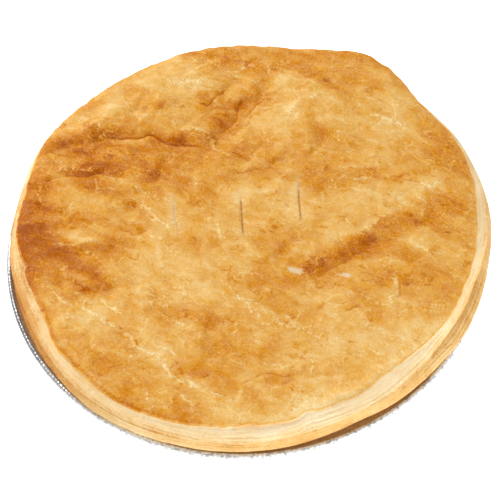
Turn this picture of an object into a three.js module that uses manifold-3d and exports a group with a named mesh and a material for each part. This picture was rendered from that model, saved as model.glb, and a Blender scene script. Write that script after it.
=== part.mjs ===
// A minced beef pie: a round, uncut, double-crust pie baked in its own shallow foil tray.
// Millimetres, +Z up. The origin is on the tray's axis, on the table, and -Y is the front.
//
// Three pieces lie one on another, a hair apart: the foil tray, the base crust with everything
// that it closes in, and the lid, a risen sheet of puff pastry with three knife slits.

import * as THREE from 'three';
import { mergeVertices } from 'three/addons/utils/BufferGeometryUtils.js';
import Module from 'manifold-3d';

// The tray.
const TRAY_DIAMETER = 216; // over the rolled bead
const TRAY_DEPTH = 27; // from the table to the top of the flange
const TRAY_BASE_DIAMETER = 160;
const TRAY_CORNER = 4; // bevel between the base and the wall
const CORNER_NORMAL = { out: 0.8, down: 0.6 }; // which way the bevel faces
const FOIL = 0.5; // the foil, thickened enough to be a sound solid
const FLANGE_WIDTH = 5;
const BEAD_RADIUS = 1.45;
const BEAD_SIDES = 10;

// The pastry.
const GAP = 0.3; // between pieces that touch
const PASTRY_RADIUS = 105.3;
const SEAM_HEIGHT = 8; // where the lid starts, above the flange
const EDGE_HEIGHT = 16; // the lid's browned edge, above the flange
const EDGE_ROLL = 2; // how far the lid rises just inside its edge
const DOME = 4; // how far its middle rises beyond that
const SKIN_INSET = 1.7; // the lid's browned edge, inside the pastry's outline
const SEAM_INSET = 0.7; // the seam, inside the outline
const LIP_HEIGHT = 4; // the base crust's widest place, above the flange
const LIP_ROLL = 1.8; // how far its lip turns in below that

// Swells and flats round the rim: each is so many millimetres at an angle in degrees, and fades
// over a width in degrees. Angles run from +X towards +Y, so the front is at 270.
const OUTLINE_SWELLS = [
    { at: 13, by: 7.4, wide: 27 },
    { at: 54, by: 5.2, wide: 11 },
    { at: 98, by: 0.8, wide: 9 },
    { at: 120, by: -1, wide: 13 },
    { at: 150, by: 2, wide: 13 },
    { at: 185, by: 2, wide: 16 },
    { at: 236, by: 2, wide: 22 },
    { at: 270, by: 0.5, wide: 14 },
    { at: 292, by: -1.6, wide: 13 },
    { at: 335, by: 2, wide: 15 },
];
const SKIN_INSET_SWELLS = [
    { at: 3, by: 4.3, wide: 20 },
    { at: 54, by: -0.9, wide: 12 },
    { at: 165, by: 2.5, wide: 10 },
    { at: 192, by: 6.5, wide: 13 },
    { at: 242, by: -1.8, wide: 17 },
    { at: 265, by: 5.3, wide: 95 },
    { at: 325, by: 2.5, wide: 24 },
];
const SEAM_INSET_SWELLS = [
    { at: 203, by: 3, wide: 22 },
    { at: 332, by: 4, wide: 24 },
];
const EDGE_HEIGHT_SWELLS = [
    { at: 55, by: 6.5, wide: 13 },
    { at: 100, by: 3.6, wide: 60 },
    { at: 180, by: 1, wide: 30 },
    { at: 265, by: -1, wide: 30 },
    { at: 312, by: -2, wide: 16 },
];

// Hills and hollows of the lid: middle, height, reach along and across, and turn in degrees.
const LID_RELIEF = [
    { x: -6, y: 61, by: -3.4, along: 20, across: 9, turn: 62 },
    { x: -34, y: 53, by: -1.8, along: 26, across: 6, turn: -4 },
    { x: 56, y: -11, by: -2.6, along: 34, across: 9, turn: 24 },
    { x: 20, y: -29, by: -1.4, along: 24, across: 8, turn: -12 },
    { x: -66, y: 17, by: 1.8, along: 22, across: 14, turn: 10 },
    { x: 30, y: 57, by: 2.2, along: 22, across: 16, turn: 70 },
    { x: 72, y: 35, by: 1.8, along: 20, across: 14, turn: 110 },
    { x: -62, y: 63, by: 1.8, along: 26, across: 12, turn: 40 },
    { x: -50, y: -55, by: -1.2, along: 40, across: 8, turn: -42 },
    { x: 52, y: -61, by: 1.6, along: 26, across: 14, turn: 35 },
    { x: -12, y: -45, by: 1.4, along: 26, across: 16, turn: 0 },
];

// The knife slits: middle, length, and turn in degrees from the Y axis.
const SLITS = [
    { x: -30, y: 4, length: 18, turn: 5 },
    { x: 0, y: 3, length: 21, turn: 1 },
    { x: 25.5, y: 9.5, length: 27, turn: -1 },
];
const SLIT_DEPTH = 4;
const SLIT_WIDTH = 1; // at the lid's surface

// How finely the shapes are made: facets round the axis, rings as shares of the radius, and
// places on a curved edge as shares of the way.
const SEGMENTS = 90;
const CROWN_SHARES = [1, 0.93, 0.72, 0.4, 0];
const TOP_SHARES = [1, 0.975, 0.93, 0.86, 0.77, 0.67, 0.56, 0.44, 0.32, 0.18, 0];
const LIP_SHARES = [0.3, 0.65, 1];
const CUT_EDGE_SHARES = [{ up: 0.4, across: 0.25 }, { up: 0.8, across: 0.7 }];
const LEAST_STEP = 0.25; // between rings that would otherwise meet

// Places that follow from the sizes above.
const RIM_RADIUS = TRAY_DIAMETER / 2;
const BASE_RADIUS = TRAY_BASE_DIAMETER / 2;
const BEAD_MIDDLE = RIM_RADIUS - BEAD_RADIUS;
const BEAD_LEVEL = TRAY_DEPTH - FOIL / 2;
const FLANGE_OUTER = RIM_RADIUS - 2 * BEAD_RADIUS;
const FLANGE_INNER = FLANGE_OUTER - FLANGE_WIDTH;

function degToRad(degrees) {
    return degrees * Math.PI / 180;
}

function point(r, z) {
    return new THREE.Vector2(r, z);
}

// The sum of the swells at an angle in radians.
function swellAt(swells, angle) {
    return swells.reduce((sum, { at, by, wide }) => {
        const turned = angle - degToRad(at);
        const away = Math.atan2(Math.sin(turned), Math.cos(turned)) / degToRad(wide);
        return sum + by * Math.exp(-(away ** 2));
    }, 0);
}

function outlineAt(angle) {
    return PASTRY_RADIUS + swellAt(OUTLINE_SWELLS, angle);
}

function seamAt(angle) {
    return outlineAt(angle) - SEAM_INSET - swellAt(SEAM_INSET_SWELLS, angle);
}

function skinEdgeAt(angle) {
    return outlineAt(angle) - SKIN_INSET - swellAt(SKIN_INSET_SWELLS, angle);
}

// The height of the hills and hollows at a place on the lid.
function reliefAt(x, y) {
    return LID_RELIEF.reduce((sum, hill) => {
        const turn = degToRad(hill.turn);
        const dx = x - hill.x;
        const dy = y - hill.y;
        const along = (dx * Math.cos(turn) + dy * Math.sin(turn)) / hill.along;
        const across = (dy * Math.cos(turn) - dx * Math.sin(turn)) / hill.across;
        return sum + hill.by * Math.exp(-(along ** 2) - across ** 2);
    }, 0);
}

// The lid's top: an uneven edge, a rolled shoulder, a low dome and the relief.
function lidTopAt(r, angle) {
    const share = Math.min(r / skinEdgeAt(angle), 1);
    const edge = EDGE_HEIGHT + swellAt(EDGE_HEIGHT_SWELLS, angle) * share ** 2;
    const shoulder = EDGE_ROLL * (1 - share ** 10);
    const dome = DOME * (1 - share ** 2);
    const relief = reliefAt(r * Math.cos(angle), r * Math.sin(angle)) * (1 - share ** 8);
    return TRAY_DEPTH + edge + shoulder + dome + relief;
}

// The level at which the lid lies on the base crust, from the axis out to the seam.
function seamLevelAt(r) {
    return TRAY_DEPTH + SEAM_HEIGHT + DOME * (1 - Math.min(r / PASTRY_RADIUS, 1) ** 2);
}

// The underside of the pastry's rim: on the flange, then up over the tray's bead.
function rimUndersideAt(r) {
    const beadTop = BEAD_LEVEL + BEAD_RADIUS;
    const climb = THREE.MathUtils.smoothstep(r, FLANGE_OUTER - BEAD_RADIUS, FLANGE_OUTER - GAP);
    return TRAY_DEPTH + GAP + climb * (beadTop - TRAY_DEPTH);
}

// The line of the tray's wall, from its base to its flange. Offset 0 is the foil's inside, FOIL
// its outside, and -GAP the food that fills it. The corner moves square to its bevel.
function wallLine(offset) {
    const cornerLevel = FOIL + TRAY_CORNER / 2;
    return [
        point(BASE_RADIUS - TRAY_CORNER, FOIL - offset),
        point(BASE_RADIUS + offset * CORNER_NORMAL.out, cornerLevel - offset * CORNER_NORMAL.down),
        point(FLANGE_INNER + offset, TRAY_DEPTH - offset),
    ];
}

// The rolled bead at the flange's edge, from the flange's underside round to its top.
function beadLine() {
    const start = Math.PI - Math.asin(FOIL / 2 / BEAD_RADIUS);
    const line = [];
    for (let i = 0; i <= BEAD_SIDES; i++) {
        const turn = start * (2 * i / BEAD_SIDES - 1);
        const r = BEAD_MIDDLE + BEAD_RADIUS * Math.cos(turn);
        line.push(point(r, BEAD_LEVEL + BEAD_RADIUS * Math.sin(turn)));
    }
    return line;
}

// The same geometry with its shared vertices merged, so that it is one closed surface.
function welded(geometry) {
    geometry.deleteAttribute('normal');
    geometry.deleteAttribute('uv');
    const closed = mergeVertices(geometry);
    closed.computeVertexNormals();
    return closed;
}

// A closed body whose profile may change as it goes round the axis. profileAt(angle) gives the
// same number of points at every angle, from the axis, up the outside and back to the axis.
function turned(profileAt) {
    const geometry = new THREE.LatheGeometry(profileAt(0), SEGMENTS);
    const { position } = geometry.attributes;
    const count = position.count / (SEGMENTS + 1);
    for (let i = 0; i <= SEGMENTS; i++) {
        const angle = ((i % SEGMENTS) / SEGMENTS) * 2 * Math.PI;
        profileAt(angle).forEach(({ x: r, y: z }, j) => {
            position.setXYZ(i * count + j, r * Math.cos(angle), r * Math.sin(angle), z);
        });
    }
    return welded(geometry);
}

function trayGeometry() {
    const profile = [
        point(0, 0),
        ...wallLine(FOIL),
        ...beadLine(),
        ...wallLine(0).reverse(),
        point(0, FOIL),
    ];
    return turned(() => profile);
}

// The base crust's lip: out and up from its underside, at r, to its widest place.
function lipLine(r, outline) {
    const foot = rimUndersideAt(r);
    return LIP_SHARES.map((share) => {
        const turn = share * Math.PI / 2;
        const out = (outline - r) * Math.sin(turn);
        return point(r + out, foot + (TRAY_DEPTH + LIP_HEIGHT - foot) * (1 - Math.cos(turn)));
    });
}

// The base crust fills the tray, turns out over the flange and stands up to the seam.
function baseCrustGeometry() {
    const rimRadii = [FLANGE_INNER + 2 * GAP, FLANGE_OUTER - BEAD_RADIUS, FLANGE_OUTER - GAP];
    return turned((angle) => {
        const outline = outlineAt(angle);
        const seam = seamAt(angle);
        const lip = outline - LIP_ROLL + LEAST_STEP * rimRadii.length;
        const underside = [...rimRadii, lip].map((radius, i) => {
            const r = Math.min(radius, outline - LIP_ROLL + LEAST_STEP * i);
            return point(r, rimUndersideAt(r));
        });
        return [
            point(0, FOIL + GAP),
            ...wallLine(-GAP),
            ...underside,
            ...lipLine(lip, outline),
            point((outline + seam) / 2, TRAY_DEPTH + (LIP_HEIGHT + 3 * SEAM_HEIGHT) / 4),
            ...CROWN_SHARES.map((share) => point(share * seam, seamLevelAt(share * seam))),
        ];
    });
}

// The lid lies on the base crust, and its cut edge slopes in to the browned skin's edge.
function lidGeometry() {
    return turned((angle) => {
        const seam = seamAt(angle);
        const skin = skinEdgeAt(angle);
        const foot = seamLevelAt(seam) + GAP;
        const rise = lidTopAt(skin, angle) - foot;
        const crown = CROWN_SHARES.map((share) => point(share * seam, seamLevelAt(share * seam) + GAP));
        return [
            ...crown.reverse(),
            ...CUT_EDGE_SHARES.map(({ up, across }) => {
                return point(seam + (skin - seam) * across, foot + rise * up);
            }),
            ...TOP_SHARES.map((share) => point(share * skin, lidTopAt(share * skin, angle))),
        ];
    });
}

// A wedge as long as one slit, with its sharp edge down, that stands in the lid's surface.
function slitGeometry({ x, y, length, turn }) {
    const wedge = new THREE.Shape([
        point(-SLIT_WIDTH, SLIT_DEPTH),
        point(0, -SLIT_DEPTH),
        point(SLIT_WIDTH, SLIT_DEPTH),
    ]);
    const geometry = new THREE.ExtrudeGeometry(wedge, { depth: length, bevelEnabled: false });
    geometry.translate(0, 0, -length / 2);
    geometry.rotateX(Math.PI / 2);
    geometry.rotateZ(degToRad(turn));
    geometry.translate(x, y, lidTopAt(Math.hypot(x, y), Math.atan2(y, x)));
    return welded(geometry);
}

// The body that is left when the cutters are taken out of it.
async function carved(body, cutters) {
    const wasm = await Module();
    wasm.setup();
    const solid = (geometry) => new wasm.Manifold(new wasm.Mesh({
        numProp: 3,
        vertProperties: geometry.attributes.position.array,
        triVerts: Uint32Array.from(geometry.index.array),
    }));
    const result = cutters.reduce((left, cutter) => left.subtract(solid(cutter)), solid(body));
    const mesh = result.getMesh();
    const geometry = new THREE.BufferGeometry();
    geometry.setAttribute('position', new THREE.BufferAttribute(mesh.vertProperties, 3));
    geometry.setIndex(new THREE.BufferAttribute(mesh.triVerts, 1));
    geometry.computeVertexNormals();
    return geometry;
}

function piece(name, geometry, color, roughness, metalness) {
    const mesh = new THREE.Mesh(geometry, new THREE.MeshStandardMaterial({ color, roughness, metalness }));
    mesh.name = name;
    return mesh;
}

const pie = new THREE.Group();
pie.add(piece('foil_tray', trayGeometry(), 0xc4c2bd, 0.35, 1));
pie.add(piece('base_crust', baseCrustGeometry(), 0xdfa768, 0.8, 0));
pie.add(piece('lid', await carved(lidGeometry(), SLITS.map(slitGeometry)), 0xe4a956, 0.6, 0));

export default pie;
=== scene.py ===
# %% [markdown]
# # A minced beef pie in its foil tray
# A family pie: minced beef shut in between a base crust and a lid of puff pastry, baked in a shallow foil
# tray. Its sizes come from a solid model, the frame. The script leaves the frame as it is and builds the
# looks round it: the tray, the lower crust and the lid. Everything is in metres with +Z up, and -Y is the
# front.

# %% Load the frame
import math

import bpy
import numpy as np
from mathutils import Matrix, Vector


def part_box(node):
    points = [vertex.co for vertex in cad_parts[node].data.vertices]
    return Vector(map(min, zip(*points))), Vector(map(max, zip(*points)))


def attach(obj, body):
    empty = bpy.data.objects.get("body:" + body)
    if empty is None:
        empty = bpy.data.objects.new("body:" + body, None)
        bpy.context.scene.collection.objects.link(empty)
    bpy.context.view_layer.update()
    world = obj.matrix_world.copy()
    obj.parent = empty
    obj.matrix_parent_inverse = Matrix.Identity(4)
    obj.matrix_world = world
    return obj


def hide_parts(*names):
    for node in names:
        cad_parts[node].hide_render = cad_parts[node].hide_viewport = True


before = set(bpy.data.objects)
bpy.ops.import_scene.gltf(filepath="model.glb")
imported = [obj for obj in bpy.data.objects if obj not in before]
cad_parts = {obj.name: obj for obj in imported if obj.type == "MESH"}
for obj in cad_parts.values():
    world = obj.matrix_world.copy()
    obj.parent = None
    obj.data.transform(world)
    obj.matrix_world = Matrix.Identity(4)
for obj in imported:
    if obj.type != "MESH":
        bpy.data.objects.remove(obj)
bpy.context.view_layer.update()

MM = 0.001

# %% [markdown]
# ## Reading the frame
# The pastry isn't round: it swells over the tray on the right and draws in at the front. Copying
# those numbers here would risk two versions of one shape, so they are read off the frame. At
# each of its facets the corner that lies furthest in some direction is the one wanted: straight
# out for the crust's outline, up and out for an upper edge. The corners are then joined by one
# smooth closed curve.

# %% Places round the rim
COLUMNS = 1024
turn_of = np.arange(COLUMNS) * 2 * np.pi / COLUMNS


def bell(away, reach):
    """A bell curve: 1 where nothing is away, and soon 0 past the reach."""
    return np.exp(-((away / reach) ** 2))


def smoothed(values, reach):
    """A closed ring of values, each blended with its neighbours up to a reach."""
    steps = np.arange(-3 * reach, 3 * reach + 1)
    weights = bell(steps, reach)
    blend = [np.roll(values, step) * weight for step, weight in zip(steps, weights)]
    return np.sum(blend, axis=0) / weights.sum()


def round_the_rim(node, out, up, facets=90):
    """Radius and height, at each column, of the corner furthest out and up in the given shares."""
    places = np.array([v.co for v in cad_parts[node].data.vertices])
    facet = np.round(np.arctan2(places[:, 1], places[:, 0]) * facets / (2 * np.pi)) % facets
    radius = np.hypot(places[:, 0], places[:, 1])
    ring = []
    for number in range(facets):
        near = (facet == number) & (radius > 90 * MM)
        r, z = radius[near], places[near, 2]
        outermost = r > r.max() - 11 * MM
        best = np.argmax(np.where(outermost, out * r + up * z, 0))
        ring.append((r[best], z[best]))
    facet_turn = np.arange(facets) * 2 * np.pi / facets
    reach = COLUMNS // facets
    return [
        smoothed(np.interp(turn_of, facet_turn, line, period=2 * np.pi), reach)
        for line in zip(*ring)
    ]


outline_r, _ = round_the_rim("base_crust", 1, 0)
seam_r, seam_z = round_the_rim("base_crust", 1, 3)
skin_r, skin_z = round_the_rim("lid", 1, 3)
for name, ring in (("outline", outline_r), ("seam", seam_r), ("skin edge", skin_r)):
    print(name, "radius", (ring.min() / MM).round(1), "to", (ring.max() / MM).round(1), "mm")


def at_turn(ring, x, y):
    """The value of a ring in the direction of each place."""
    return np.interp(np.arctan2(y, x) % (2 * np.pi), turn_of, ring, period=2 * np.pi)


def swell(*swells):
    """A ring that is the sum of swells, each an angle in degrees, an amount and a width."""
    total = np.zeros(COLUMNS)
    for at, amount, wide in swells:
        away = np.degrees(turn_of) - at
        total += amount * bell((away + 180) % 360 - 180, wide)
    return total


# %% [markdown]
# ## Wandering values
# Baked pastry has no straight line in it. Its unevenness could be pushed in by hand with a sculpt
# brush, or a formula can wander: random values on a coarse net, blended smoothly in between, are
# quick and come out the same every time because their seed is fixed. The net is laid over the
# pie for its surface, or followed round the rim for its edges.

# %% Wandering values
NET = 96


def wander(x, y, size, seed):
    """Smooth random values from -1 to 1 over places x, y, with features of one size."""
    net = np.random.default_rng(seed).uniform(-1, 1, (NET + 1, NET + 1))
    u, v = (x / size) % NET, (y / size) % NET
    i, j = u.astype(int) % NET, v.astype(int) % NET
    u, v = u - np.floor(u), v - np.floor(v)
    u, v = u * u * (3 - 2 * u), v * v * (3 - 2 * v)
    near = net[i, j] * (1 - u) + net[i + 1, j] * u
    far = net[i, j + 1] * (1 - u) + net[i + 1, j + 1] * u
    return near * (1 - v) + far * v


def wander_round(size, seed, level=0.0):
    """The same, followed round the rim as one closed ring, at a level."""
    x = 105 * MM * np.cos(turn_of)
    y = 105 * MM * np.sin(turn_of)
    return wander(x + level, y - level, size, seed)


def pushed(x, y, seed, *pushes):
    """The places, pushed about by wandering values, each an amount and a size in millimetres."""
    moved = []
    for line in (x, y):
        for amount, size in pushes:
            line = line + amount * MM * wander(x + 1, y + 1, size * MM, seed)
            seed += 1
        moved.append(line)
    return moved


print("a net of", NET, "by", NET, "squares, and", COLUMNS, "columns round the rim")

# %% [markdown]
# ## Helpers for the shapes
# Every piece here is a closed skin made of rings, so one way of building serves them all: a
# circle is added, its edge is extruded once for each further ring, and the vertices of each ring
# are then set at their radius and height. A ring of radius zero closes a piece on its axis. The
# spin tool could do it for the tray, but not for pastry whose radius changes as it goes round.

# %% Helpers for the shapes
def coordinates(piece):
    """A piece's vertices as three arrays."""
    places = np.empty(len(piece.data.vertices) * 3)
    piece.data.vertices.foreach_get("co", places)
    return places.reshape(-1, 3).T.copy()


def set_coordinates(piece, x, y, z):
    piece.data.vertices.foreach_set("co", np.stack([x, y, z], axis=1).ravel())
    piece.data.update()


def paint(piece, name, values):
    """Keeps one value for each vertex, which a material can read by its name."""
    layer = piece.data.attributes.new(name, "FLOAT", "POINT")
    layer.data.foreach_set("value", np.asarray(values, np.float32))


def apply_modifier(piece, kind, **settings):
    made = piece.modifiers.new(kind.lower(), kind)
    for name, value in settings.items():
        setattr(made, name, value)
    bpy.ops.object.modifier_apply(modifier=made.name)


def extrude_rings(piece, count):
    """Extrudes the selected edge loop that many times. Each new ring's vertices come last."""
    bpy.ops.object.mode_set(mode="EDIT")
    for _ in range(count):
        bpy.ops.mesh.extrude_edges_move(TRANSFORM_OT_translate={"value": (0, 0, -MM)})
    bpy.ops.object.mode_set(mode="OBJECT")


def closed_up(piece):
    """Merges what lies in one place, turns every face outwards and shades the piece smooth."""
    bpy.ops.object.mode_set(mode="EDIT")
    bpy.ops.mesh.select_all(action="SELECT")
    bpy.ops.mesh.remove_doubles(threshold=0.003 * MM)
    bpy.ops.mesh.normals_make_consistent(inside=False)
    bpy.ops.object.mode_set(mode="OBJECT")
    bpy.ops.object.shade_smooth()
    triangles = sum(len(face.vertices) - 2 for face in piece.data.polygons)
    print(piece.name, "has", len(piece.data.vertices), "vertices and", triangles, "triangles")


def ringed(name, rings, columns=COLUMNS):
    """A piece made of rings, each a pair of radius and height, plain numbers or one per column."""
    bpy.ops.object.select_all(action="DESELECT")
    bpy.ops.mesh.primitive_circle_add(vertices=columns, radius=1)
    piece = bpy.context.object
    piece.name = name
    bpy.ops.object.mode_set(mode="EDIT")
    bpy.ops.mesh.select_mode(type="EDGE")
    bpy.ops.mesh.select_all(action="SELECT")
    bpy.ops.object.mode_set(mode="OBJECT")
    extrude_rings(piece, len(rings) - 1)
    x, y, _ = coordinates(piece)
    radius = np.concatenate([np.broadcast_to(r, columns) for r, _ in rings])
    height = np.concatenate([np.broadcast_to(z, columns) for _, z in rings])
    angle = np.arctan2(y, x)
    turned = (np.round(angle * columns / (2 * np.pi)).astype(int)) % columns
    ring_of = np.arange(len(x)) // columns
    radius = radius[ring_of * columns + turned]
    height = height[ring_of * columns + turned]
    set_coordinates(piece, radius * np.cos(angle), radius * np.sin(angle), height)
    return piece, ring_of


# %% [markdown]
# ## Camera, floor and light
# The pie stands on a plain white sweep and is looked down on from the front through a long lens,
# so that its rim stays nearly an ellipse. The sweep is one wide white square with its rim turned
# up, and it glows a little, as a light table does. A soft lamp behind on the left rakes over the
# top and shows its folds, a wider one in front lights the sides, and a pale surround keeps every
# shadow open.

# %% Camera
VIEW_HEIGHT = math.radians(55.5)
VIEW_ROLL = math.radians(-2.5)
VIEW_DISTANCE = 0.9
AIM_ACROSS = 2.26 * MM
AIM_UP = -0.72 * MM
LENS = 143.06
BEAD_DROP = 1.2 * MM
tray_low, tray_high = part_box("foil_tray")
rim_centre = Vector((0, 0, tray_high.z - BEAD_DROP))

turned = Matrix.Rotation(math.pi / 2 - VIEW_HEIGHT, 3, "X") @ Matrix.Rotation(VIEW_ROLL, 3, "Z")
aim = rim_centre + turned @ Vector((AIM_ACROSS, AIM_UP, 0))
bpy.ops.object.camera_add(
    location=aim + turned @ Vector((0, 0, VIEW_DISTANCE)), rotation=turned.to_euler()
)
camera = bpy.context.object
camera.name = "camera"
camera.data.lens = LENS
camera.data.sensor_width = 36
bpy.context.scene.camera = camera
print("camera at", [round(value, 3) for value in camera.location])

# %% The sweep
FLOOR_SIDE = 6
SWEEP_HIGH = 0.5
FLOOR_GAP = 0.2 * MM
bpy.ops.object.select_all(action="DESELECT")
bpy.ops.mesh.primitive_plane_add(size=FLOOR_SIDE, location=(0, 0, tray_low.z - FLOOR_GAP))
bpy.ops.object.mode_set(mode="EDIT")
bpy.ops.mesh.select_all(action="SELECT")
bpy.ops.mesh.region_to_loop()
bpy.ops.mesh.extrude_edges_move(TRANSFORM_OT_translate={"value": (0, 0, SWEEP_HIGH)})
bpy.ops.object.mode_set(mode="OBJECT")
floor = bpy.context.object
floor.name = "floor"
bpy.ops.object.transform_apply(location=True, rotation=False, scale=False)
print("the sweep is", FLOOR_SIDE, "m wide and turned up by", SWEEP_HIGH, "m")

# %% Light
def lamp(name, place, size, power, colour=(1, 1, 1)):
    """A square lamp at a place, turned to the middle of the pie."""
    bpy.ops.object.light_add(type="AREA", location=place)
    made = bpy.context.object
    made.name = name
    made.rotation_euler = (rim_centre - Vector(place)).to_track_quat("-Z", "Y").to_euler()
    made.data.size = size
    made.data.energy = power
    made.data.color = colour


lamp("key", (-1.25, 1.35, 1.65), 0.85, 54, (1.0, 0.99, 0.97))
lamp("front", (0.78, -1.1, 0.66), 1.0, 15, (1.0, 0.985, 0.96))

world = bpy.data.worlds.new("surround")
world.use_nodes = True
surround = world.node_tree.nodes["Background"]
surround.inputs["Color"].default_value = (1.0, 0.99, 0.975, 1)
surround.inputs["Strength"].default_value = 0.14
bpy.context.scene.world = world
bpy.context.scene.view_settings.view_transform = "Standard"

# %% [markdown]
# ## The foil tray
# Such a tray is pressed from thin foil in one stroke. The spare foil gathers in pleats down the
# sloping wall and in fine crimps over the rolled bead, which shows all round the front. A smooth
# turned dish would look like plate, so the rings are closely spaced and two waves, one for the
# pleats and one for the crimps, move them in and out.

# %% Profile of the tray
TRAY_COLUMNS = 1440
FOIL = 0.25 * MM
BEAD_RADIUS = 1.42 * MM
BASE_RADIUS = 76 * MM
CORNER_RADIUS = 4.5 * MM
FLANGE_INNER = 100.2 * MM
WALL_RINGS = 9
BEAD_RINGS = 13
bead_middle = tray_high.x - BEAD_RADIUS
bead_level = tray_high.z - BEAD_RADIUS
flange_level = bead_level + FOIL


def wall_rings(offset):
    """The rings of the tray's base, corner and wall at an offset to the inside, base first."""
    corner = [
        (BASE_RADIUS + CORNER_RADIUS * math.sin(turn), CORNER_RADIUS * (1 - math.cos(turn)))
        for turn in (0.0, 0.3, 0.6)
    ]
    top = (FLANGE_INNER, flange_level)
    shares = [(step + 1) / WALL_RINGS for step in range(WALL_RINGS)]
    wall = [tuple(a + (b - a) * share for a, b in zip(corner[-1], top)) for share in shares]
    base = [(0, 0), (BASE_RADIUS / 2, 0)]
    return [(r - 0.7 * offset if r else 0, z + 0.7 * offset) for r, z in base + corner + wall]


bead_turns = np.radians(np.linspace(-165, 165, BEAD_RINGS))
bead = [
    (bead_middle + BEAD_RADIUS * math.cos(t), bead_level + BEAD_RADIUS * math.sin(t))
    for t in bead_turns
]
outside = wall_rings(0)
inside = [*reversed(wall_rings(FOIL))]
tray, ring_of = ringed("tray", outside + bead + inside, TRAY_COLUMNS)
print("rings in the tray:", ring_of.max() + 1)

# %% Pleats and crimps
PLEATS, PLEAT_DEPTH = 124, 0.75 * MM
CRIMPS, CRIMP_DEPTH = 358, 0.22 * MM


def zigzag(angle):
    """A wave of straight folds, from -1 to 1."""
    return np.arcsin(np.sin(angle)) * 2 / np.pi


x, y, z = coordinates(tray)
angle, radius = np.arctan2(y, x), np.hypot(x, y)
climb = np.clip((radius - BASE_RADIUS - 2 * MM) / (FLANGE_INNER - BASE_RADIUS), 0, 1)
on_bead = (ring_of >= len(outside)) & (ring_of < len(outside) + BEAD_RINGS)
uneven = wander(x + 1, y + 1, 14 * MM, 31)
pleat = zigzag(PLEATS * angle + 0.9 * wander(x + 1, y, 30 * MM, 32)) * (0.8 + 0.3 * uneven)
fade = np.sqrt(climb) * (radius < FLANGE_INNER + MM) * (1 - 0.6 * climb**6)
radius = radius + PLEAT_DEPTH * pleat * fade * ~on_bead
crimp = (0.5 + 0.5 * zigzag(CRIMPS * angle)) * (0.65 + 0.45 * wander(x, y + 1, 5 * MM, 33))
pinch = np.where(on_bead, 1 - crimp * CRIMP_DEPTH / BEAD_RADIUS, 1)
radius = np.where(on_bead, bead_middle + (radius - bead_middle) * pinch, radius)
z = np.where(on_bead, bead_level + (z - bead_level) * pinch, z)
sway = 0.12 * MM * wander(x + 2, y, 22 * MM, 34)
z = z + np.where(z > flange_level / 2, sway, 0)
set_coordinates(tray, radius * np.cos(angle), radius * np.sin(angle), z)
# the flange under the crust gets a painted reflection of the pastry
paint(tray, "pastry_reflection", (ring_of >= len(outside) + BEAD_RINGS - 2) * 1.0)
# painted shade on the outer wall, most between its pleats, and on the bead's left side
outer_wall_shade = np.clip((len(outside) + 4 - ring_of) / 4, 0, 1)
pleat_shade = np.clip(0.85 - 0.6 * pleat * fade, 0.3, 1.3) / 1.3
paint(tray, "wall", np.where(on_bead, at_turn(swell((198, 0.95, 26)), x, y), outer_wall_shade * pleat_shade))
closed_up(tray)

# %% [markdown]
# ## The lower crust
# The base crust lines the tray, turns out over its flange and shows as a tan band, about as high
# as a finger is thick, all round under the lid. Its face was cut and then pressed, so thin layers
# run along it as wavy lines. Only that band needs fine rings; inside the tray a few will do.
# Each ring's radius follows the outline read off the frame, and the layers are a wave of its
# height that wanders as it goes round.

# %% Rings of the lower crust
BAND_RINGS = 30
LIP = 0.3
flange_top = tray_high.z - BEAD_DROP
on_bead_top = tray_high.z + 0.3 * MM
bulges = swell((34, 2.6, 12), (153, 1.3, 7)) * MM
seam_r = seam_r + bulges + swell((208, 1.0, 18)) * MM
seam_z = seam_z - swell((208, 3.2, 18)) * MM
outline_r = outline_r + bulges - swell((192, 2.3, 16)) * MM
band_share = np.linspace(0, 1, BAND_RINGS)
lip_foot_r = outline_r - 1.5 * MM
over_bead = np.clip((lip_foot_r - 103.2 * MM) / (1.4 * MM), 0, 1)
band_foot = flange_top + 0.5 * MM + over_bead * (on_bead_top - flange_top - 0.5 * MM)


def layers(height, pitch, seed):
    """A wave of thin layers over rows of height, from -1 to 1, that wanders round the rim."""
    drift = 0.5 * wander_round(34 * MM, seed) + 0.25 * wander_round(9 * MM, seed + 1)
    return np.sin(2 * np.pi * (height / pitch + drift))


def band_ring(share):
    """Radius and height of the band's ring at a share of its height."""
    tuck = 1.5 * MM * np.clip(1 - share / LIP, 0, 1) ** 2
    lean = (outline_r - seam_r) * np.clip((share - LIP) / (1 - LIP), 0, 1) ** 1.5
    height = share * (seam_z - band_foot)
    strong = np.clip(0.6 + 0.8 * wander_round(16 * MM, 41, height.mean() * 9), 0.1, 1.3)
    relief = 0.13 * MM * layers(height, 1.35 * MM, 42) * strong
    relief += 0.3 * MM * wander_round(17 * MM, 44, share * 12 * MM)
    relief += 0.14 * MM * wander_round(5 * MM, 45, share * 9 * MM)
    relief *= np.clip(share * 6, 0.2, 1) * np.clip((1 - share) * 8, 0.3, 1)
    return outline_r - tuck - lean + relief, band_foot + height


body = [(0, 1.2 * MM), (72 * MM, 1.2 * MM), (77.5 * MM, 3.5 * MM), (98 * MM, 25.8 * MM)]
rim_under = [
    (np.minimum(r, outline_r - tuck), flange_top + 0.3 * MM + rise)
    for r, tuck, rise in (
        (99.6 * MM, 2.6 * MM, 0),
        (102.4 * MM, 2.2 * MM, 0.05 * MM),
    )
]
band = [band_ring(share) for share in band_share]
crown = [(seam_r - 2.5 * MM, seam_z + 0.1 * MM), (0, seam_z.max() + 3.4 * MM)]
crust, ring_of = ringed("lower_crust", body + rim_under + band + crown)
first = len(body) + len(rim_under)
rise = np.clip((ring_of - first) / (BAND_RINGS - 1), 0, 1)
paint(crust, "rise", rise)
x, y, z = coordinates(crust)
# browner on the left; painted light makes the rim paler on the front left, where it lies in shade
rim_browning_and_light = swell((196, 1.2, 14), (178, 1.0, 12), (216, 0.7, 12), (243, -0.5, 13))
paint(crust, "browning_and_shading", at_turn(rim_browning_and_light, x, y))
closed_up(crust)

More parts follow.
